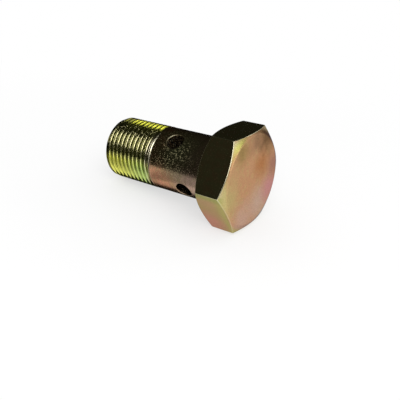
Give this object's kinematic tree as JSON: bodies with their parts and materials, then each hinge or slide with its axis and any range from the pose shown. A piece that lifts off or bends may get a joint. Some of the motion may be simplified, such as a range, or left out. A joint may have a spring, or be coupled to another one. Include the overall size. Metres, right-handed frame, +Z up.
{
  "type": "banjo bolt",
  "caption": "Hollow hexagon-head screw that clamps a banjo fitting to a port and feeds fluid through its axial oilway and crossed side drillings; lies on a flat of its head.",
  "frame": {"origin": "on the surface that the bolt lies on, under the middle of its box", "axes": "+Z up; +X from the threaded end towards the head; the bolt's own axis lies in the XZ plane and dips about 6 degrees towards the threaded end"},
  "size_m": [0.0314, 0.0196, 0.0175],
  "materials": {
    "yellow_zinc_plated_steel": "turned and milled steel, zinc plated and yellow passivated, with a faint pink and green bloom"
  },
  "bodies": {
    "root": {"banjo_bolt": "yellow_zinc_plated_steel"}
  },
  "joints": []
}
